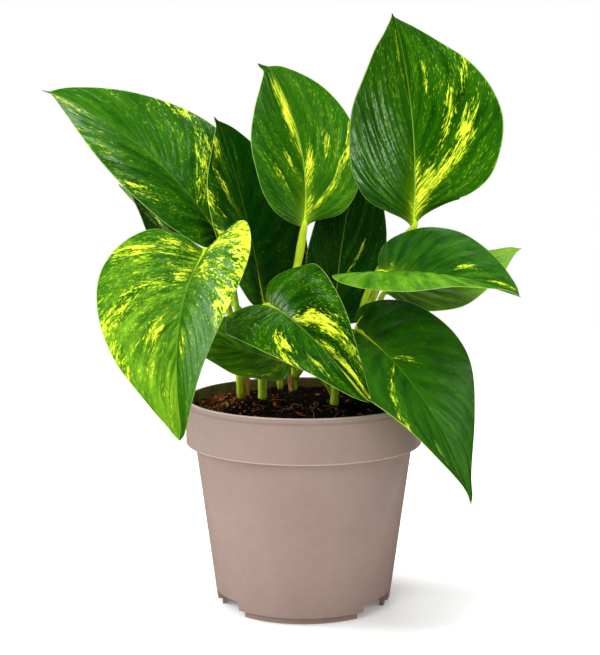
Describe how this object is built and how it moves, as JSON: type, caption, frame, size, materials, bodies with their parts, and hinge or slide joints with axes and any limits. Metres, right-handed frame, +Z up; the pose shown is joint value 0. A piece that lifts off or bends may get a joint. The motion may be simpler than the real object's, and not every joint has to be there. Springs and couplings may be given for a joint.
{
  "type": "potted pothos plant",
  "caption": "Leafy pothos in a round tapered nursery pot with a banded rim, its soil and stems, standing on the pot's foot ring.",
  "frame": {"origin": "on the surface that the pot stands on, under the middle of the whole plant's box", "axes": "+Z up, -Y out of the front, +X to the right as seen from the front"},
  "size_m": [0.2552, 0.179, 0.3024],
  "materials": {
    "pot": "matte moulded, grey-brown",
    "soil": "loose dark peat with coir fibres",
    "stem": "smooth green stem, satin",
    "petiole": "smooth yellow-green stalk, satin",
    "leaf": "waxy green splashed with yellow, semi-gloss",
    "sheath": "dry papery brown"
  },
  "bodies": {
    "root": {"pot": "pot", "soil": "soil", "stem_left": "stem", "stem_front_left": "stem", "stem_front_right": "stem", "stem_back": "stem", "stem_back_left": "stem", "stem_right": "stem", "sheath_left": "sheath", "sheath_back": "sheath", "petiole_left_tall": "petiole", "leaf_left_tall": "leaf", "petiole_left_inner": "petiole", "leaf_left_inner": "leaf", "petiole_centre_tall": "petiole", "leaf_centre_tall": "leaf", "petiole_front_left": "petiole", "leaf_front_left": "leaf", "petiole_top": "petiole", "leaf_top": "leaf", "petiole_front_middle": "petiole", "leaf_front_middle": "leaf", "petiole_right_side": "petiole", "leaf_right_side": "leaf", "petiole_back_middle": "petiole", "leaf_back_middle": "leaf", "petiole_right_under": "petiole", "leaf_right_under": "leaf", "petiole_front_right": "petiole", "leaf_front_right": "leaf", "petiole_back_left": "petiole", "leaf_back_left": "leaf", "petiole_low": "petiole", "leaf_low": "leaf"}
  },
  "joints": []
}
